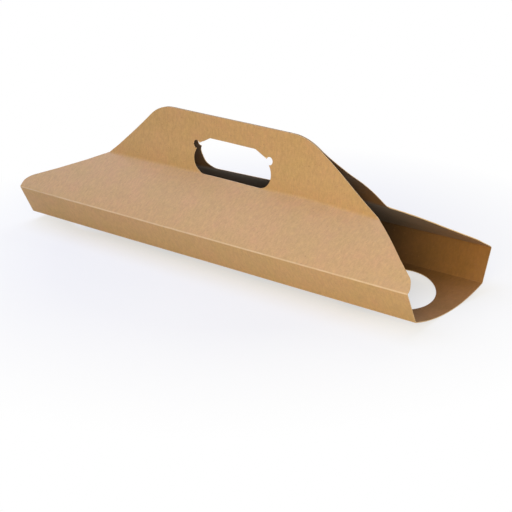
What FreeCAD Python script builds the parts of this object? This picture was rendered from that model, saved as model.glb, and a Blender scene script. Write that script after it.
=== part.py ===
"""Carrier for four drink cups, die-cut and folded from one sheet of kraft board. Millimetres.

The sheet runs grip, roof, side wall, base, side wall, roof, grip. Folded, it is a long tube
that is open at both ends: the walls lean out from the base, the roofs lean in over the cups and
turn up into two grips that are pressed together along their top edge. The cups hang by their
taper in four round holes of the base, which bows down a little between its two folds.

X runs along the carrier, +Z is up, and the origin is on the lowest line of the base, halfway
along. Both ends are alike, so each cut is drawn at one end and mirrored to the other.
"""

import FreeCAD, Part
import os
from math import asin, atan, atan2, cos, degrees, hypot, pi, sin, sqrt, tan
from types import SimpleNamespace

import Sketcher
from FreeCAD import Placement, Rotation, Vector

doc = FreeCAD.newDocument("cup_carrier")


# Driving sizes

SIZES = [
    ("board", 0.6, "thickness of the board"),
    ("crease", 0.8, "radius on the hollow side of a base fold or outer fold"),
    ("soft_crease", 3, "radius on the hollow side of a grip fold, which isn't pressed flat"),
    ("base_width", 90, "across the two base folds"),
    ("base_sag", 7, "how far the base bows down between its folds"),
    ("outer_width", 113, "across the two outer folds, from wall to roof"),
    ("wall_rise", 25.4, "height of an outer fold above a base fold"),
    ("roof_rise", 31, "height of a grip fold above an outer fold"),
    ("roof_crown", 1.5, "how far a roof bulges between its folds"),
    ("throat", 16, "across the two grip folds, from roof to grip"),
    ("grip_rise", 47.5, "height of the top edge above a grip fold"),
    ("pinch", 10, "height of the strip where the grips are pressed together"),
    ("grip_gap", 0.6, "gap that is left between the pressed grips"),
    ("grip_lean", 4, "how far the pressed strip stands in front of the middle"),
    ("shoulder", 11, "from an outer fold to the corner where the end starts to slant"),
    ("shoulder_radius", 15, "rounding of that corner"),
    ("grip_fold_length", 276, "length of a grip fold, between the slanted edges"),
    ("top_length", 152, "length of the top edge between its corners, before rounding"),
    ("top_radius", 42, "rounding of those corners"),
    ("cup_hole_radius", 38, "radius of a cup hole"),
    ("cup_pitch", 95.5, "from one cup hole to the next"),
    ("end_strip", 18.75, "board that is left between the last cup hole and the end"),
    ("hand_hole_length", 79, "length of the hand hole over its round ends"),
    ("hand_end_radius", 12, "radius of those ends, which stand on the grip fold"),
    ("hand_hole_rise", 29.6, "height of the hand hole's top edge above the grip fold"),
    ("hand_top_length", 46, "length of that top edge"),
    ("relief_radius", 3.2, "radius of the relief notch above each end of the hand hole"),
    ("relief_out", 37.1, "from the middle of the carrier to a notch's centre"),
    ("relief_rise", 22.8, "height of a notch's centre above the grip fold"),
    ("relief_lip", 34.2, "from the middle to where the slanted edge leaves the notch"),
    ("cut_margin", 5, "how far a cutting outline reaches past the board"),
]

sheet = doc.addObject("Spreadsheet::Sheet", "sizes")
for row, (alias, value, meaning) in enumerate(SIZES, start=1):
    sheet.set(f"A{row}", alias)
    sheet.set(f"B{row}", str(value))
    sheet.set(f"C{row}", meaning)
    sheet.setAlias(f"B{row}", alias)
doc.recompute()
mm = SimpleNamespace(**{alias: float(sheet.get(alias)) for alias, _, _ in SIZES})

# Worked out from them: heights of the folds, and a roof's run, width and heading
outer_fold_z = mm.base_sag + mm.wall_rise
grip_fold_z = outer_fold_z + mm.roof_rise
top_z = grip_fold_z + mm.grip_rise
roof_run = (mm.outer_width - mm.throat) / 2
roof_width = hypot(roof_run, mm.roof_rise)
roof_heading = atan2(mm.roof_rise, -roof_run)
fold_half = mm.grip_fold_length / 2

# Where the carrier ends: four cup holes in a row, and a strip of board past the last one
last_hole_x = 1.5 * mm.cup_pitch
end_x = last_hole_x + mm.cup_hole_radius + mm.end_strip

# The same sizes as the sketches' dimensions follow them
END_X = "1.5 * sizes.cup_pitch + sizes.cup_hole_radius + sizes.end_strip"
GRIP_FOLD_Z = "sizes.base_sag + sizes.wall_rise + sizes.roof_rise"
ROOF_WIDTH = "sqrt(((sizes.outer_width - sizes.throat) / 2) ^ 2 + sizes.roof_rise ^ 2)"

body = doc.addObject("PartDesign::Body", "cup_carrier")
body.Label = "cup_carrier"


# Sketch helpers

# Numbers by which constraints name a sketch's origin and axes, and the points of an edge
ORIGIN = (-1, 1)
LEVEL_AXIS, UPRIGHT_AXIS = range(-1, -3, -1)
START, END, CENTRE = range(1, 4)
NORMAL = Vector(0, 0, 1)


def plane(role):
    return next(f for f in body.Origin.OriginFeatures if f.Role == role)


def new_sketch(name, role):
    sketch = body.newObject("Sketcher::SketchObject", name)
    sketch.AttachmentSupport = [(plane(role), "")]
    sketch.MapMode = "FlatFace"
    return sketch


class Outline:
    """A closed outline in a sketch, drawn edge by edge and joined corner to corner."""

    def __init__(self, sketch):
        self.sketch = sketch
        self.ends = []  # for each edge, the point where it starts and the one where it ends

    def rule(self, kind, *where):
        return self.sketch.addConstraint(Sketcher.Constraint(kind, *where))

    def bind(self, kind, *where):
        """A dimension. Its last two values are its size now and the expression that it follows."""
        *points, value, expression = where
        number = self.rule(kind, *points, value)
        self.sketch.setExpression(f"Constraints[{number}]", expression)

    def place(self, point, across, across_rule, up, up_rule):
        """Ties a point to the sketch's origin by its two coordinates."""
        self.bind("DistanceX", *ORIGIN, *point, across, across_rule)
        self.bind("DistanceY", *ORIGIN, *point, up, up_rule)

    def edge(self, geometry, start, end, smooth):
        index = self.sketch.addGeometry(geometry, False)
        self.ends.append(((index, start), (index, end)))
        if len(self.ends) > 1:
            self.rule("Tangent" if smooth else "Coincident", *self.ends[-2][1], index, start)
        return index

    def line(self, start, end, smooth=False):
        return self.edge(Part.LineSegment(Vector(*start), Vector(*end)), START, END, smooth)

    def arc(self, centre, start, end, smooth=False, clockwise=False):
        """A sketch keeps its arcs counterclockwise, so a clockwise one is entered at its end."""
        first, last = (end, start) if clockwise else (start, end)
        angles = [atan2(p[1] - centre[1], p[0] - centre[0]) for p in (first, last)]
        if angles[1] < angles[0]:
            angles[1] += 2 * pi
        radius = hypot(start[0] - centre[0], start[1] - centre[1])
        arc = Part.ArcOfCircle(Part.Circle(Vector(*centre), NORMAL, radius), *angles)
        return self.edge(arc, END, START, smooth) if clockwise else self.edge(arc, START, END, smooth)

    def close(self):
        self.rule("Coincident", *self.ends[-1][1], *self.ends[0][0])

    def corner(self, at, *edges):
        """The sharp corner that a rounding replaces, where its neighbours would meet."""
        point = self.sketch.addGeometry(Part.Point(Vector(*at)), True)
        for edge in edges:
            self.rule("PointOnObject", point, START, edge)
        return (point, START)


def heading(angle):
    return Vector(cos(angle), sin(angle))


def flat(*points):
    return tuple((p.x, p.y) for p in points)


def bend(corner, arrive, leave, radius):
    """Centre, start and end of the arc that rounds a corner between two headings."""
    half_turn = (leave - arrive) / 2
    reach = radius * tan(abs(half_turn))
    inside = arrive + (pi / 2 if half_turn > 0 else -pi / 2)
    start = Vector(*corner) - heading(arrive) * reach
    end = Vector(*corner) + heading(leave) * reach
    return flat(start + heading(inside) * radius, start, end)


# Folded section, drawn on its outer face

base_fold = (mm.base_width / 2, mm.base_sag)
outer_fold = (mm.outer_width / 2, outer_fold_z)
grip_fold = (mm.throat / 2, grip_fold_z)
pinch_z = top_z - mm.pinch
pinch_half = mm.grip_gap / 2 + mm.board

base_radius = (base_fold[0] ** 2 + mm.base_sag**2) / (2 * mm.base_sag)
base_heading = asin(base_fold[0] / base_radius)
wall_heading = atan2(mm.wall_rise, outer_fold[0] - base_fold[0])
crown_radius = ((roof_width / 2) ** 2 + mm.roof_crown**2) / (2 * mm.roof_crown)
crown_half_turn = asin(roof_width / 2 / crown_radius)
crown_start = roof_heading - crown_half_turn
crown_centre = Vector(*outer_fold) + heading(crown_start + pi / 2) * crown_radius


def section_side(pinch_y):
    """The edges of the right side from base to top: name, centre or None, start, end, clockwise.

    The grip rises from its fold in an S of two equal arcs that are upright at both ends.
    """
    outward = mm.crease + mm.board
    base_bend = bend(base_fold, base_heading, wall_heading, outward)
    outer_bend = bend(outer_fold, wall_heading, crown_start, outward)
    grip_bend = bend(grip_fold, roof_heading + crown_half_turn, pi / 2, mm.soft_crease)
    rise = pinch_z - grip_fold_z
    turn = 2 * atan((grip_fold[0] - pinch_y) / rise)
    radius = rise / (2 * sin(turn))
    halfway = ((grip_fold[0] + pinch_y) / 2, (grip_fold_z + pinch_z) / 2)
    return [
        ("base_bend", *base_bend, False),
        ("wall", None, base_bend[2], outer_bend[1], False),
        ("outer_bend", *outer_bend, False),
        ("roof", crown_centre[:2], outer_bend[2], grip_bend[1], False),
        ("grip_bend", *grip_bend, True),
        ("grip_low", (grip_fold[0] - radius, grip_fold_z), grip_bend[2], halfway, radius < 0),
        ("grip_high", (pinch_y + radius, pinch_z), halfway, (pinch_y, pinch_z), radius > 0),
        ("pinched", None, (pinch_y, pinch_z), (pinch_y, top_z), False),
    ]


def other_side(edges):
    """The same edges mirrored to the left, and run from top to base."""
    def mirrored(point):
        return (-point[0], point[1])

    return [
        (name, centre and mirrored(centre), mirrored(end), mirrored(start), clockwise)
        for name, centre, start, end, clockwise in reversed(edges)
    ]


section_sketch = new_sketch("section", "YZ_Plane")
section = Outline(section_sketch)


def draw_side(edges):
    """Draws one side's edges, each smooth with the last, and gives their numbers by name."""
    numbers = {}
    for name, centre, start, end, clockwise in edges:
        smooth = start != top_left
        if centre:
            numbers[name] = section.arc(centre, start, end, smooth, clockwise)
        else:
            numbers[name] = section.line(start, end, smooth)
    return numbers


top_left = (-mm.grip_lean - pinch_half, top_z)
top_right = (-mm.grip_lean + pinch_half, top_z)
right_edges = section_side(top_right[0])
left_edges = other_side(section_side(-top_left[0]))
base = section.arc((0, base_radius), left_edges[-1][3], right_edges[0][2])
right = draw_side(right_edges)
top = section.line(top_right, top_left)
left = draw_side(left_edges)
section.rule("Tangent", *section.ends[-1][1], base, START)

section.rule("PointOnObject", base, CENTRE, UPRIGHT_AXIS)
section.rule("PointOnObject", *ORIGIN, base)
section.rule("Horizontal", top)
corners = []
for side, sign in ((right, 1), (left, -1)):
    fold_corners = [
        section.corner((sign * base_fold[0], base_fold[1]), side["wall"]),
        section.corner((sign * outer_fold[0], outer_fold[1]), side["wall"], side["roof"]),
        section.corner((sign * grip_fold[0], grip_fold[1]), side["roof"], side["grip_low"]),
    ]
    corners.append(fold_corners)
    section.rule("Horizontal", *fold_corners[2], side["grip_low"], CENTRE)
    section.rule("Vertical", side["pinched"])
    section.rule("Equal", side["grip_low"], side["grip_high"])
section.rule("PointOnObject", *corners[0][0], base)
for right_corner, left_corner in zip(*corners):
    section.rule("Symmetric", *right_corner, *left_corner, UPRIGHT_AXIS)
for name in ("base_bend", "outer_bend", "roof", "grip_bend"):
    section.rule("Equal", right[name], left[name])
section.rule("Horizontal", right["pinched"], START, left["pinched"], END)

base_corner, outer_corner, grip_corner = corners[0]
section.place(base_corner, base_fold[0], "sizes.base_width / 2", mm.base_sag, "sizes.base_sag")
section.bind("DistanceX", *ORIGIN, *outer_corner, outer_fold[0], "sizes.outer_width / 2")
section.bind("DistanceY", *base_corner, *outer_corner, mm.wall_rise, "sizes.wall_rise")
section.bind("DistanceX", *ORIGIN, *grip_corner, grip_fold[0], "sizes.throat / 2")
section.bind("DistanceY", *outer_corner, *grip_corner, mm.roof_rise, "sizes.roof_rise")
for name in ("base_bend", "outer_bend"):
    section.bind("Radius", right[name], mm.crease + mm.board, "sizes.crease + sizes.board")
section.bind("Radius", right["grip_bend"], mm.soft_crease, "sizes.soft_crease")
section.bind(
    "Radius", right["roof"], crown_radius,
    f"({ROOF_WIDTH} ^ 2 / 4 + sizes.roof_crown ^ 2) / (2 * sizes.roof_crown)",
)
section.bind("DistanceY", right["pinched"], START, right["pinched"], END, mm.pinch, "sizes.pinch")
section.bind("DistanceY", *grip_corner, right["pinched"], END, mm.grip_rise, "sizes.grip_rise")
section.bind(
    "DistanceX", top, END, top, START, 2 * pinch_half, "sizes.grip_gap + 2 * sizes.board"
)
section.bind(
    "DistanceX", top, START, *grip_corner, grip_fold[0] - top_right[0],
    "sizes.throat / 2 + sizes.grip_lean - sizes.grip_gap / 2 - sizes.board",
)

block = body.newObject("PartDesign::Pad", "folded_block")
block.Profile = section_sketch
block.SideType = "Symmetric"
block.setExpression("Length", f"2 * ({END_X})")
doc.recompute()


# The block is hollowed to a sheet that is open at the ends and along its top edge

def flat_face(feature, normal, reach):
    """The flat face that lies this far from the origin along the normal."""
    for number, face in enumerate(feature.Shape.Faces, start=1):
        if isinstance(face.Surface, Part.Plane) and face.Surface.Axis.cross(normal).Length < 1e-6:
            if abs(face.CenterOfMass.dot(normal) - reach) < mm.board / 10:
                return f"Face{number}"
    raise RuntimeError(f"no flat face {reach} along {normal}")


folded_sheet = body.newObject("PartDesign::Thickness", "folded_sheet")
folded_sheet.Base = (block, [
    flat_face(block, Vector(1, 0, 0), -end_x),
    flat_face(block, Vector(1, 0, 0), end_x),
    flat_face(block, Vector(0, 0, 1), top_z),
])
folded_sheet.Reversed = True
folded_sheet.setExpression("Value", "sizes.board")
doc.recompute()


# The slanted ends: one straight cut of the flat sheet, which crosses roof and grip at their fold

def slanted_end(outline, corner, foot, arrive, radius):
    """Draws a rounded corner, then a straight slant to its foot on the grip fold."""
    leave = atan2(foot[1] - corner[1], foot[0] - corner[0])
    centre, start, end = bend(corner, arrive, leave, radius)
    rounding = outline.arc(centre, start, end, clockwise=leave < arrive)
    slant = outline.line(end, foot, smooth=True)
    sharp = outline.corner(corner, slant)
    arrives, across = ("Vertical", "Horizontal") if arrive else ("Horizontal", "Vertical")
    outline.rule(arrives, *sharp, *outline.ends[0][0])
    outline.rule(across, rounding, CENTRE, *outline.ends[0][0])
    return sharp, rounding, slant, start


def closed_by(outline, points, first_rule):
    """Draws level and upright edges through the points, back to the outline's start."""
    rules = [first_rule, "Horizontal" if first_rule == "Vertical" else "Vertical"] * 2
    edges = []
    for start, end, rule in zip(points, points[1:], rules):
        edges.append(outline.line(start, end))
        outline.rule(rule, edges[-1])
    outline.close()
    return edges


roof_sketch = new_sketch("slant_of_roof", "XY_Plane")
roof_sketch.AttachmentOffset = Placement(
    Vector(0, *outer_fold), Rotation(Vector(1, 0, 0), degrees(roof_heading))
)
roof_sketch.setExpression("AttachmentOffset.Base.y", "sizes.outer_width / 2")
roof_sketch.setExpression("AttachmentOffset.Base.z", "sizes.base_sag + sizes.wall_rise")
roof_sketch.setExpression(
    "AttachmentOffset.Rotation.Angle",
    "180 - atan(2 * sizes.roof_rise / (sizes.outer_width - sizes.throat)) / 1 deg",
)
roof_cut = Outline(roof_sketch)
roof_foot = (fold_half, roof_width)
past_fold = roof_width + 2 * mm.board
outside_x = end_x + mm.cut_margin
sharp, rounding, slant, start = slanted_end(
    roof_cut, (end_x, mm.shoulder), roof_foot, pi / 2, mm.shoulder_radius
)
over_fold, _, _, back = closed_by(
    roof_cut,
    [roof_foot, (fold_half, past_fold), (outside_x, past_fold), (outside_x, start[1]), start],
    "Vertical",
)
roof_cut.place(sharp, end_x, END_X, mm.shoulder, "sizes.shoulder")
roof_cut.place(
    (slant, END), fold_half, "sizes.grip_fold_length / 2", roof_width, ROOF_WIDTH
)
roof_cut.bind("Radius", rounding, mm.shoulder_radius, "sizes.shoulder_radius")
roof_cut.bind("DistanceY", over_fold, START, over_fold, END, 2 * mm.board, "2 * sizes.board")
roof_cut.bind("DistanceX", back, END, back, START, mm.cut_margin, "sizes.cut_margin")

roof_end = body.newObject("PartDesign::Pocket", "roof_end")
roof_end.Profile = roof_sketch
roof_end.SideType = "Symmetric"
roof_end.setExpression("Length", "sizes.wall_rise")
doc.recompute()

to_other_side = doc.addObject("PartDesign::Mirrored", "to_other_side")
to_other_side.MirrorPlane = (plane("XZ_Plane"), [""])
to_other_end = doc.addObject("PartDesign::Mirrored", "to_other_end")
to_other_end.MirrorPlane = (plane("YZ_Plane"), [""])
roof_ends = body.newObject("PartDesign::MultiTransform", "roof_ends")
roof_ends.Originals = [roof_end]
roof_ends.Transformations = [to_other_side, to_other_end]
body.Tip = roof_ends
doc.recompute()

grip_sketch = new_sketch("slant_of_grip", "XZ_Plane")
grip_cut = Outline(grip_sketch)
grip_foot = (fold_half, grip_fold_z)
over_top = top_z + mm.cut_margin
sharp, rounding, slant, start = slanted_end(
    grip_cut, (mm.top_length / 2, top_z), grip_foot, 0, mm.top_radius
)
out, _, _, drop = closed_by(
    grip_cut,
    [grip_foot, (outside_x, grip_fold_z), (outside_x, over_top), (start[0], over_top), start],
    "Horizontal",
)
grip_cut.place(
    sharp, mm.top_length / 2, "sizes.top_length / 2", top_z, f"{GRIP_FOLD_Z} + sizes.grip_rise"
)
grip_cut.place(
    (slant, END), fold_half, "sizes.grip_fold_length / 2", grip_fold_z, GRIP_FOLD_Z
)
grip_cut.bind("Radius", rounding, mm.top_radius, "sizes.top_radius")
grip_cut.bind("DistanceX", *ORIGIN, out, END, outside_x, f"{END_X} + sizes.cut_margin")
grip_cut.bind("DistanceY", drop, END, drop, START, mm.cut_margin, "sizes.cut_margin")

grip_end = body.newObject("PartDesign::Pocket", "grip_end")
grip_end.Profile = grip_sketch
grip_end.SideType = "Symmetric"
grip_end.setExpression("Length", "2 * sizes.throat")
doc.recompute()


# The hand hole through both grips: a flat floor on the grip fold, round ends, relief notches
# and a top edge that slopes down to them

floor_half = mm.hand_hole_length / 2 - mm.hand_end_radius
end_centre = (floor_half, grip_fold_z + mm.hand_end_radius)
notch_centre = (mm.relief_out, grip_fold_z + mm.relief_rise)
hole_top = grip_fold_z + mm.hand_hole_rise
top_end = (mm.hand_top_length / 2, hole_top)
lip_rise = sqrt(mm.relief_radius**2 - (mm.relief_out - mm.relief_lip) ** 2)
lip = (mm.relief_lip, notch_centre[1] + lip_rise)


def right_crossing(one, one_radius, other, other_radius):
    """Where two circles cross, to the right of the line from the first centre to the second."""
    between = Vector(*other) - Vector(*one)
    apart = between.Length
    ahead = between / apart
    reach = (one_radius**2 - other_radius**2 + apart**2) / (2 * apart)
    aside = sqrt(one_radius**2 - reach**2)
    return (
        one[0] + ahead.x * reach + ahead.y * aside,
        one[1] + ahead.y * reach - ahead.x * aside,
    )


notch_start = right_crossing(end_centre, mm.hand_end_radius, notch_centre, mm.relief_radius)

hand_sketch = new_sketch("hand_hole_outline", "XZ_Plane")
hand = Outline(hand_sketch)
floor = hand.line((0, grip_fold_z), (floor_half, grip_fold_z))
round_end = hand.arc(end_centre, (floor_half, grip_fold_z), notch_start, smooth=True)
notch = hand.arc(notch_centre, notch_start, lip)
slope = hand.line(lip, top_end)
upper = hand.line(top_end, (0, hole_top))
halfway = hand.line((0, hole_top), (0, grip_fold_z))
hand.close()
hand.rule("Horizontal", floor)
hand.rule("Horizontal", upper)
hand.rule("Vertical", halfway)
hand.rule("PointOnObject", floor, START, UPRIGHT_AXIS)
hand.bind("DistanceY", *ORIGIN, floor, START, grip_fold_z, GRIP_FOLD_Z)
hand.bind(
    "DistanceX", *ORIGIN, floor, END, floor_half,
    "sizes.hand_hole_length / 2 - sizes.hand_end_radius",
)
hand.bind("Radius", round_end, mm.hand_end_radius, "sizes.hand_end_radius")
hand.bind("Radius", notch, mm.relief_radius, "sizes.relief_radius")
hand.bind("DistanceX", *ORIGIN, notch, CENTRE, mm.relief_out, "sizes.relief_out")
hand.bind("DistanceY", floor, END, notch, CENTRE, mm.relief_rise, "sizes.relief_rise")
hand.bind("DistanceX", *ORIGIN, slope, START, mm.relief_lip, "sizes.relief_lip")
hand.bind("DistanceX", *ORIGIN, slope, END, top_end[0], "sizes.hand_top_length / 2")
hand.bind("DistanceY", floor, START, upper, END, mm.hand_hole_rise, "sizes.hand_hole_rise")

hand_hole = body.newObject("PartDesign::Pocket", "hand_hole")
hand_hole.Profile = hand_sketch
hand_hole.SideType = "Symmetric"
hand_hole.setExpression("Length", "2 * sizes.throat")
doc.recompute()

grip_cuts = body.newObject("PartDesign::Mirrored", "grip_cuts")
grip_cuts.Originals = [grip_end, hand_hole]
grip_cuts.MirrorPlane = (plane("YZ_Plane"), [""])
body.Tip = grip_cuts
doc.recompute()


# Four cup holes through the base, in a row from the left end

cup_sketch = new_sketch("cup_hole_outline", "XY_Plane")
cup_outline = Outline(cup_sketch)
circle = cup_sketch.addGeometry(
    Part.Circle(Vector(-last_hole_x, 0), NORMAL, mm.cup_hole_radius), False
)
cup_outline.rule("PointOnObject", circle, CENTRE, LEVEL_AXIS)
cup_outline.bind("DistanceX", circle, CENTRE, *ORIGIN, last_hole_x, "1.5 * sizes.cup_pitch")
cup_outline.bind("Radius", circle, mm.cup_hole_radius, "sizes.cup_hole_radius")

cup_hole = body.newObject("PartDesign::Pocket", "cup_hole")
cup_hole.Profile = cup_sketch
cup_hole.Reversed = True
cup_hole.setExpression("Length", "sizes.base_sag + 2 * sizes.board")
doc.recompute()

cup_holes = body.newObject("PartDesign::LinearPattern", "cup_holes")
cup_holes.Originals = [cup_hole]
cup_holes.Direction = (cup_sketch, ["H_Axis"])
cup_holes.Occurrences = 4
cup_holes.setExpression("Length", "3 * sizes.cup_pitch")
body.Tip = cup_holes
doc.recompute()


# Checks, then the file of the one piece

for item in doc.Objects:
    if "Invalid" in item.State or "Error" in item.State:
        raise RuntimeError(f"{item.Name} did not build: {item.getStatusString()}")

for sketch in (section_sketch, roof_sketch, grip_sketch, hand_sketch, cup_sketch):
    if not sketch.FullyConstrained:
        raise RuntimeError(f"{sketch.Name} is not fully constrained")

cuts = [folded_sheet, roof_end, roof_ends, grip_end, hand_hole, grip_cuts, cup_hole, cup_holes]
for before, after in zip(cuts, cuts[1:]):
    if after.Shape.Volume > before.Shape.Volume - mm.board:
        raise RuntimeError(f"{after.Name} cuts nothing")

shape = body.Shape
if shape.isNull() or not shape.isValid() or len(shape.Solids) != 1:
    raise RuntimeError("the carrier is not one valid solid")

os.makedirs("parts", exist_ok=True)
shape.exportStep("parts/cup_carrier.step")
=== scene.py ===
"""Looks of the folded kraft board carrier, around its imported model. Metres.

X runs along the carrier, +Z is up, and the front is the side towards -Y.
"""

from math import radians

import bmesh
import bpy
from mathutils import Euler, Matrix, Vector, noise


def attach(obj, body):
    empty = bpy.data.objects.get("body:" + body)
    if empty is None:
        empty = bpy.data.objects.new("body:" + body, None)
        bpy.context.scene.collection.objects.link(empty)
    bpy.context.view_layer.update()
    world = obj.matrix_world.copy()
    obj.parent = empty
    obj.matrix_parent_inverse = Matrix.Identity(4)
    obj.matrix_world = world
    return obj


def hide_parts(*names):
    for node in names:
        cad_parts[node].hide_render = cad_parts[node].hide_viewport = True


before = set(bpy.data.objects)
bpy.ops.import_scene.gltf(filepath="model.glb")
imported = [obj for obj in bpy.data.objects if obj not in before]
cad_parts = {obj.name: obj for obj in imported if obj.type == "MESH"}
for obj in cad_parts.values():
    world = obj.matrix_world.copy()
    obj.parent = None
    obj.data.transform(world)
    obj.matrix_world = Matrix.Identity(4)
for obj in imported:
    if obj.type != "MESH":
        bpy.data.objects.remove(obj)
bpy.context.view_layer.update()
board_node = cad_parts["cup_carrier"]
MM = 0.001


# Camera, where the photograph was taken from. Angles in degrees.

CAMERA_PLACE = (0.6530, -0.7481, 0.3837)
CAMERA_AZIMUTH = 40.34
CAMERA_ELEVATION = 21.32
CAMERA_ROLL = -1.44
CAMERA_RANGE = (0.05, 20)
SENSOR_WIDTH = 36
FOCAL_WIDTHS = 1307 / 512  # the focal length, in widths of the picture


def set_up_camera():
    camera = bpy.data.objects.new("camera", bpy.data.cameras.new("camera"))
    bpy.context.scene.collection.objects.link(camera)
    camera.data.sensor_width = SENSOR_WIDTH
    camera.data.lens = SENSOR_WIDTH * FOCAL_WIDTHS
    camera.data.clip_start, camera.data.clip_end = CAMERA_RANGE
    turn = [radians(angle) for angle in (90 - CAMERA_ELEVATION, 0, CAMERA_AZIMUTH)]
    facing = Euler(turn).to_matrix().to_4x4()
    roll = Matrix.Rotation(radians(CAMERA_ROLL), 4, "Z")
    camera.matrix_world = Matrix.Translation(CAMERA_PLACE) @ facing @ roll
    bpy.context.scene.camera = camera


# Shader helpers

class Shader:
    """A material or world that is being wired up, node by node."""

    def __init__(self, owner):
        owner.use_nodes = True
        self.tree = owner.node_tree
        self.tree.nodes.clear()

    def fill(self, socket, value):
        """Give an input its value, or link it to the socket that feeds it."""
        if isinstance(value, bpy.types.NodeSocket):
            self.tree.links.new(value, socket)
        else:
            socket.default_value = value

    def add(self, kind, inputs=None, **settings):
        """A node, with its inputs filled and its settings made."""
        node = self.tree.nodes.new("ShaderNode" + kind)
        for name, value in settings.items():
            setattr(node, name, value)
        for name, value in (inputs or {}).items():
            self.fill(node.inputs[name], value)
        return node

    def math(self, operation, first, second=0.0):
        return self.add("Math", {0: first, 1: second}, operation=operation).outputs[0]

    def noise(self, place, scale, detail, roughness):
        inputs = {"Vector": place, "Scale": scale, "Detail": detail, "Roughness": roughness}
        return self.add("TexNoise", inputs).outputs["Fac"]

    def stretch(self, place, scale):
        """The place with its axes scaled, so that a noise gets longer where they shrink."""
        return self.add("Mapping", {"Vector": place, "Scale": scale}).outputs[0]

    def spread(self, value, low, high, to_low=0.0, to_high=1.0):
        """The value's range from low to high, stretched over the new range and cut off there."""
        inputs = {"Value": value, "From Min": low, "From Max": high}
        inputs.update({"To Min": to_low, "To Max": to_high})
        return self.add("MapRange", inputs).outputs["Result"]

    def blend(self, amount, first, second, how="MIX"):
        node = self.add("Mix", data_type="RGBA", blend_type=how)
        for name, value in (("Factor_Float", amount), ("A_Color", first), ("B_Color", second)):
            self.fill(next(s for s in node.inputs if s.identifier == name), value)
        return next(s for s in node.outputs if s.identifier == "Result_Color")

    def bump(self, height, strength, depth, under=None):
        """A relief of the given depth, on top of the one under it."""
        inputs = {"Strength": strength, "Distance": depth, "Height": height}
        if under:
            inputs["Normal"] = under
        return self.add("Bump", inputs).outputs[0]

    def seen_directly(self):
        """1 where the camera looks at the surface, straight or by gloss or through glass."""
        path = self.add("LightPath")
        seen = self.math("MAXIMUM", path.outputs["Is Camera Ray"], path.outputs["Is Glossy Ray"])
        return self.math("MAXIMUM", seen, path.outputs["Is Transmission Ray"])


# Stage: a white room with a pale floor, a broad lamp overhead, a warm one in front and a weak
# one behind

WHITE = (1, 1, 1, 1)
ROOM = (0.14, 0.14, 0.14, 1)
OVERHEAD = {"place": (-0.6, -0.05, 1.28), "width": 1.3, "power": 21.8, "tint": (0.49, 0.59, 1.0)}
FRONT = {"place": (0.60, -0.72, 0.40), "width": 0.6, "power": 7.6, "tint": (1.0, 0.89, 0.57)}
BACK = {"place": (-0.3, 1.2, 0.8), "width": 0.9, "power": 6.0, "tint": (1.0, 0.93, 0.85)}
LAMPS_AIM = (0, 0, 0.05)
FLOOR_HALF_WIDTH = 6
FLOOR_PAPER = (0.80, 0.78, 0.74, 1)
SHADOW_REACH = (0.15, 0.31)  # from the middle: shadows show at their full depth, then fade
FLOOR_LIFT = (0.6, 1.0)  # how far the floor is lifted to white there, and past their reach


def build_room():
    bpy.context.scene.view_settings.view_transform = "Standard"
    world = bpy.data.worlds.new("room")
    bpy.context.scene.world = world
    shader = Shader(world)
    room = shader.add("Background", {"Color": ROOM, "Strength": 1.0})
    white = shader.add("Background", {"Color": WHITE, "Strength": 1.0})
    seen = shader.seen_directly()
    mix = shader.add("MixShader", {0: seen, 1: room.outputs[0], 2: white.outputs[0]})
    shader.add("OutputWorld", {"Surface": mix.outputs[0]})


def hang_lamp(name, place, width, power, tint):
    light = bpy.data.lights.new(name, "AREA")
    light.energy = power
    light.size = width
    light.color = tint
    lamp = bpy.data.objects.new(name, light)
    lamp.location = place
    away = Vector(place) - Vector(LAMPS_AIM)
    lamp.rotation_euler = away.to_track_quat("Z", "Y").to_euler()
    bpy.context.scene.collection.objects.link(lamp)


def lay_floor():
    shape = bmesh.new()
    bmesh.ops.create_grid(shape, x_segments=1, y_segments=1, size=FLOOR_HALF_WIDTH)
    mesh = bpy.data.meshes.new("floor")
    shape.to_mesh(mesh)
    shape.free()
    floor = bpy.data.objects.new("floor", mesh)
    bpy.context.scene.collection.objects.link(floor)
    material = bpy.data.materials.new("pale_floor")
    shader = Shader(material)
    paper = shader.add("BsdfDiffuse", {"Color": FLOOR_PAPER})
    white = shader.add("Emission", {"Color": WHITE, "Strength": 1.0})
    place = shader.add("TexCoord").outputs["Object"]
    away = shader.add("VectorMath", {0: place}, operation="LENGTH").outputs["Value"]
    lift = shader.math(
        "MULTIPLY", shader.seen_directly(), shader.spread(away, *SHADOW_REACH, *FLOOR_LIFT))
    floor_look = shader.add("MixShader", {0: lift, 1: paper.outputs[0], 2: white.outputs[0]})
    shader.add("OutputMaterial", {"Surface": floor_look.outputs[0]})
    mesh.materials.append(material)


# Lines of the board, in millimetres. A fold is where the outer face bends: its distance from
# the middle, and its height.

BASE_FOLD = (45.0, 7.0)
OUTER_FOLD = (56.5, 32.4)
GRIP_FOLD = (8.0, 63.4)
TOP = 110.9
HALF_TOP = 76.0  # half the length of the top edge, before its corners were rounded
PINCH = 10.0  # height of the strip along the top where the grips lie side by side
LEAN = 4.0  # how far to the front that strip lies
TUBE_MIDDLE = 35.0  # height of a line well inside the folded tube


# Kraft board

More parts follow.
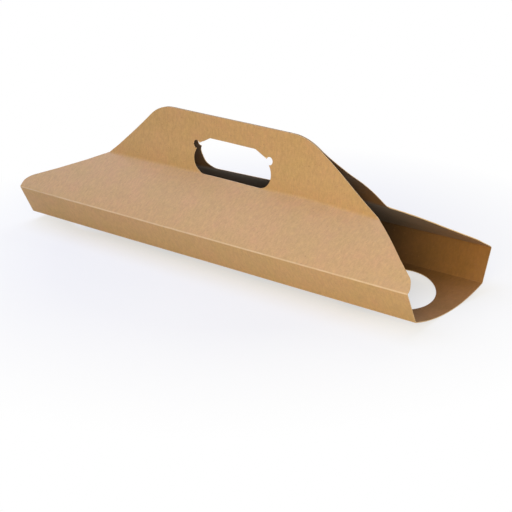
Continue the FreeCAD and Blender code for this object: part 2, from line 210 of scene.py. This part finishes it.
OUTSIDE = {
    "tan": (0.505, 0.306, 0.124, 1),
    "ruddy": (0.520, 0.298, 0.131, 1),
    "dull": (0.485, 0.302, 0.116, 1),
}
# Inside the tube: darker, more saturated tints, as painted shade of the hollow and painted warm
# light bounced within it, with more painted shade halfway along
INSIDE_SHADED = {
    "tan": (0.278, 0.122, 0.023, 1),
    "ruddy": (0.300, 0.128, 0.030, 1),
    "dull": (0.245, 0.108, 0.018, 1),
    "middle": 0.25,
    "flecks_and_highlights": 0.2,
}
SPECK = (0.24, 0.12, 0.05, 1)
FLECK = (0.74, 0.56, 0.36, 1)
# Painted highlights along the outer and base folds, where the bent board catches the light
OUTER_FOLD_HIGHLIGHT = (0.76, 0.60, 0.43, 1)
BASE_FOLD_HIGHLIGHT = (0.66, 0.45, 0.25, 1)
CORE_DARK = (0.58, 0.39, 0.20, 1)
CORE_PALE = (0.74, 0.54, 0.33, 1)
LENGTHWISE = (0.3, 1.0, 1.0)  # fibres lie along the carrier
UPRIGHT = (1.0, 0.45, 0.45)  # streaks run up its panels
END_ZONE = (110, 198)  # mm from the middle: over these the painted shade of the board's middle fades to none

# Noises of the board: cells per metre, detail and roughness

CLOUDS = (55, 3.0, 0.5)
PATCHES = (260, 3.0, 0.6)
FIBRES = (2400, 4.0, 0.7)
STREAKS = (560, 4.0, 0.65)
SPECKS = (1500, 1.0, 0.5)
FLECKS = (1100, 1.0, 0.5)
# breaks up the painted fold highlights
HIGHLIGHT_NOISE = (420, 3.0, 0.5)
WAVES = (140, 2.0, 0.5)
LAYERS = (3200, 3.0, 0.5)


def kraft_board(name, tan, ruddy, dull, middle=1.0, flecks_and_highlights=1.0):
    """Unbleached board: long fibres, soft mottling, sparse specks, and painted highlights along
    its folds.

    Middle is how light the board is halfway along, against its ends, as painted shade; the last
    argument is how strongly its pale flecks and the painted highlights on its folds show.
    """
    material = bpy.data.materials.new(name)
    shader = Shader(material)
    place = shader.add("TexCoord").outputs["Object"]
    along = shader.stretch(place, LENGTHWISE)
    upright = shader.stretch(place, UPRIGHT)
    parts = shader.add("SeparateXYZ", {"Vector": place})
    to_end = shader.math("ABSOLUTE", parts.outputs["X"])
    across = shader.math("ABSOLUTE", parts.outputs["Y"])
    height = parts.outputs["Z"]

    clouds = shader.noise(place, *CLOUDS)
    colour = shader.blend(shader.spread(clouds, 0.35, 0.65), dull, ruddy)
    patches = shader.noise(place, *PATCHES)
    colour = shader.blend(shader.spread(patches, 0.4, 0.7), colour, tan)

    fibres = shader.noise(along, *FIBRES)
    streaks = shader.noise(upright, *STREAKS)
    # Painted shade: from the ends towards the middle of its length the board darkens to the
    # middle share
    painted_middle_shade = shader.spread(to_end, END_ZONE[0] * MM, END_ZONE[1] * MM, middle, 1.0)
    shade = shader.math("MULTIPLY", shader.spread(fibres, 0.3, 0.7, 0.90, 1.08), painted_middle_shade)
    shade = shader.math("MULTIPLY", shade, shader.spread(streaks, 0.3, 0.7, 0.89, 1.10))
    grey = shader.add("CombineXYZ", {"X": shade, "Y": shade, "Z": shade}).outputs[0]
    colour = shader.blend(1.0, colour, grey, "MULTIPLY")

    specks = shader.spread(shader.noise(along, *SPECKS), 0.70, 0.76, 0.0, 0.45)
    colour = shader.blend(specks, colour, SPECK)
    flecks = shader.spread(shader.noise(along, *FLECKS), 0.30, 0.25, 0.0, 0.12 * flecks_and_highlights)
    colour = shader.blend(flecks, colour, FLECK)

    def near(fold, inner, outer):
        """1 on a fold's line, and 0 from the outer distance on."""
        side = shader.math("SUBTRACT", across, fold[0] * MM)
        rise = shader.math("SUBTRACT", height, fold[1] * MM)
        square = shader.math("ADD", shader.math("MULTIPLY", side, side),
                             shader.math("MULTIPLY", rise, rise))
        return shader.spread(shader.math("SQRT", square), outer * MM, inner * MM)

    # Painted highlights: paler lines along the outer and base folds, broken up by a noise
    highlight_strength = shader.spread(shader.noise(along, *HIGHLIGHT_NOISE), 0.3, 0.6, 0.7, 1.0)
    crease = shader.math("MULTIPLY", near(OUTER_FOLD, 0.4, 1.0), highlight_strength)
    colour = shader.blend(
        shader.math("MULTIPLY", crease, 0.6 * flecks_and_highlights), colour, OUTER_FOLD_HIGHLIGHT)
    low_crease = shader.math("MULTIPLY", near(BASE_FOLD, 0.4, 1.1), highlight_strength)
    colour = shader.blend(
        shader.math("MULTIPLY", low_crease, 0.35 * flecks_and_highlights), colour, BASE_FOLD_HIGHLIGHT)

    grain = shader.bump(fibres, 0.25, 0.1 * MM)
    waves = shader.bump(shader.noise(place, *WAVES), 0.2, 0.4 * MM, grain)
    board = shader.add("BsdfPrincipled", {
        "Base Color": colour, "Roughness": shader.spread(fibres, 0.2, 0.8, 0.58, 0.74),
        "Normal": waves, "Specular IOR Level": 0.4, "Sheen Weight": 0.08,
        "Sheen Roughness": 0.5})
    shader.add("OutputMaterial", {"Surface": board.outputs[0]})
    return material


def cut_edge():
    """The paler core of the board, in layers, which shows where it is cut."""
    material = bpy.data.materials.new("board_cut_edge")
    shader = Shader(material)
    place = shader.add("TexCoord").outputs["Object"]
    layers = shader.noise(place, *LAYERS)
    colour = shader.blend(shader.spread(layers, 0.35, 0.65), CORE_DARK, CORE_PALE)
    board = shader.add("BsdfPrincipled", {
        "Base Color": colour, "Roughness": 0.85, "Normal": shader.bump(layers, 0.4, 0.1 * MM)})
    shader.add("OutputMaterial", {"Surface": board.outputs[0]})
    return material


# Which faces of the board are its outside, its inside and its cut edges

RIM_WIDTH = 0.75 * MM
RIM_CORNER = radians(60)
RIM_SHARP_PART = 0.4  # of the length of its outline, at least


def share(value, start, end):
    """How far the value is on its way from the start, 0, to the end, 1."""
    return min(max((value - start) / (end - start), 0), 1)


def ramp(value, start, end):
    """As share, but smooth where it leaves the start and comes to the end."""
    part = share(value, start, end)
    return part * part * (3 - 2 * part)


def window(value, start, full, fade, end):
    """1 from full to fade, and 0 before the start and past the end."""
    return ramp(value, start, full) * ramp(value, end, fade)


def grips_middle(height):
    """How far to the back the place halfway between the two grips lies, in millimetres."""
    return -LEAN * ramp(height, GRIP_FOLD[1], TOP - PINCH)


def is_inside(face):
    """True for a face on the hollow side of the folded tube, or between the two grips."""
    middle = face.calc_center_median()
    if middle.z > GRIP_FOLD[1] * MM:
        return face.normal.y * (middle.y - grips_middle(middle.z / MM) * MM) < 0
    return face.normal.dot(middle - Vector((middle.x, 0, TUBE_MIDDLE * MM))) < 0


def is_rim(face):
    """True for the narrow faces where the board is cut."""
    outline = sum(edge.calc_length() for edge in face.edges)
    sharp = sum(edge.calc_length() for edge in face.edges
                if len(edge.link_faces) == 2 and edge.calc_face_angle() > RIM_CORNER)
    return face.calc_area() < RIM_WIDTH * outline / 2 and sharp > RIM_SHARP_PART * outline


# How use has settled the board: each push at its full strength, in millimetres

TOP_CLIMB = Vector((-0.8, 0, 2.0))
SHOULDER_LEAN = Vector((-2.2, 0, -0.8))
LEFT_TIP_LEAN = Vector((-0.8, 0, 0.4))
LEFT_ROOF_SAG = Vector((0, 0, -0.8))
LEFT_FOLD_FLARE = Vector((-1.0, 0, 0))
RIGHT_CORNER_ROUNDING = Vector((-0.5, 0, 0))
BACK_LEFT_SINK = Vector((7.0, 0, -4.5))
BACK_GRIP_BULGE = Vector((2.0, 0, 0))
BACK_RIGHT_DIP = Vector((0, 0, -0.6))
BACK_HOLE_SHIFT = Vector((-3.0, 0, 0))
BACK_FOLD_RISE = Vector((0, 1.35, 2.1))
FRONT_LEFT_SINK = Vector((2.0, 0, -0.6))
FRONT_RIGHT_SINK = Vector((6.8, -2.5, -1.8))
FRONT_HOLE_SHIFT = Vector((1.3, 0, -0.8))
WAVER = 0.35
WAVER_CELLS = 11  # per metre
SIDEWAYS_START = Vector((3.1, 0.4, 7.7))
UPWARDS_START = Vector((5.3, 9.2, 1.6))


def settle(point):
    """Where a point of the flawless board goes, since use has pushed the real one about.

    The ends of the grip folds have sunk, but the back one has risen towards the right. The
    shoulders at the roof's ends lean to the left, the top edge climbs to the left, and all
    panels waver a little.
    """
    x, y, z = point / MM
    up_roof = share(z, OUTER_FOLD[1], GRIP_FOLD[1])
    up_grip = share(z, GRIP_FOLD[1], TOP)
    up_curve = share(z, GRIP_FOLD[1], TOP - PINCH)
    at_fold = up_roof * (1 - up_grip)
    below_grip = ramp(up_grip, 0.2, 0)
    to_left = at_fold * ramp(x, -20, -138)
    to_right = at_fold * ramp(x, 50, 145)

    moved = TOP_CLIMB * (up_grip**2 * share(x, HALF_TOP, -HALF_TOP))
    moved += SHOULDER_LEAN * (window(up_roof, 0, 0.2, 0.35, 0.95) * ramp(abs(x), 120, 180))
    moved += LEFT_TIP_LEAN * (
        ramp(z, 7, 32) * ramp(up_roof, 0.5, 0.1) * ramp(x, -120, -200))
    moved += LEFT_ROOF_SAG * (window(up_roof, 0.3, 0.6, 0.75, 1) * ramp(x, -100, -150))
    moved += LEFT_FOLD_FLARE * (ramp(up_roof, 0.8, 1) * below_grip * ramp(x, -90, -120))
    moved += RIGHT_CORNER_ROUNDING * (ramp(up_grip, 0.55, 0.85) * ramp(x, 30, 75))
    if y > grips_middle(z):
        moved += BACK_LEFT_SINK * to_left
        moved += BACK_GRIP_BULGE * (window(up_grip, 0.05, 0.4, 0.55, 0.9) * ramp(x, 50, 110))
        moved += BACK_RIGHT_DIP * (ramp(up_roof, 0.2, 0.6) * below_grip * ramp(x, 110, 140))
        moved += BACK_HOLE_SHIFT * (
            window(x, -75, -44, -38, 0) * window(up_grip, 0, 0.1, 0.3, 0.55))
        moved += BACK_FOLD_RISE * (up_roof * (1 - up_curve) * ramp(x, -90, 150))
    else:
        moved += FRONT_LEFT_SINK * to_left + FRONT_RIGHT_SINK * to_right
        moved += FRONT_HOLE_SHIFT * (
            window(x, -20, 38, 44, 75) * ramp(up_grip, 0.9, 0.65) * ramp(up_roof, 0.7, 1))
    sideways = noise.noise(point * WAVER_CELLS + SIDEWAYS_START)
    upwards = noise.noise(point * WAVER_CELLS + UPWARDS_START)
    moved += Vector((0, sideways, upwards * ramp(z, 0, 12))) * WAVER
    return point + moved * MM


# The board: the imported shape, divided so that it bends, and settled

SAME_POINT = 1e-6
SAME_PLANE = radians(0.3)
SHARP_EDGE = radians(50)
ON_THE_CUT = 1e-7
CUTS_ALONG = range(-195, 200, 10)
CUTS_UP = range(12, 108, 6)


def divide(shape, direction, places):
    """Cut the shape's faces across the direction, at these places in millimetres."""
    for place in places:
        everything = shape.verts[:] + shape.edges[:] + shape.faces[:]
        bmesh.ops.bisect_plane(
            shape, geom=everything, dist=ON_THE_CUT,
            plane_co=Vector(direction) * place * MM, plane_no=direction)


def build_board():
    shape = bmesh.new()
    shape.from_mesh(board_node.data)
    bmesh.ops.remove_doubles(shape, verts=shape.verts, dist=SAME_POINT)
    bmesh.ops.dissolve_limit(
        shape, angle_limit=SAME_PLANE, verts=shape.verts, edges=shape.edges)
    for face in shape.faces:
        face.smooth = True
        face.material_index = 2 if is_rim(face) else int(is_inside(face))
    for edge in shape.edges:
        edge.smooth = edge.calc_face_angle(0) < SHARP_EDGE
    divide(shape, (1, 0, 0), CUTS_ALONG)
    divide(shape, (0, 0, 1), CUTS_UP)
    for vert in shape.verts:
        vert.co = settle(vert.co)
    mesh = bpy.data.meshes.new("board")
    shape.to_mesh(mesh)
    shape.free()
    board = bpy.data.objects.new("board", mesh)
    bpy.context.scene.collection.objects.link(board)
    mesh.materials.append(kraft_board("kraft_board", **OUTSIDE))
    mesh.materials.append(kraft_board("kraft_inside_shaded", **INSIDE_SHADED))
    mesh.materials.append(cut_edge())
    even = board.modifiers.new("even_shading", "WEIGHTED_NORMAL")
    even.keep_sharp = True
    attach(board, "root")
    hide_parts("cup_carrier")


set_up_camera()
build_room()
hang_lamp("overhead", **OVERHEAD)
hang_lamp("front", **FRONT)
hang_lamp("back", **BACK)
lay_floor()
build_board()
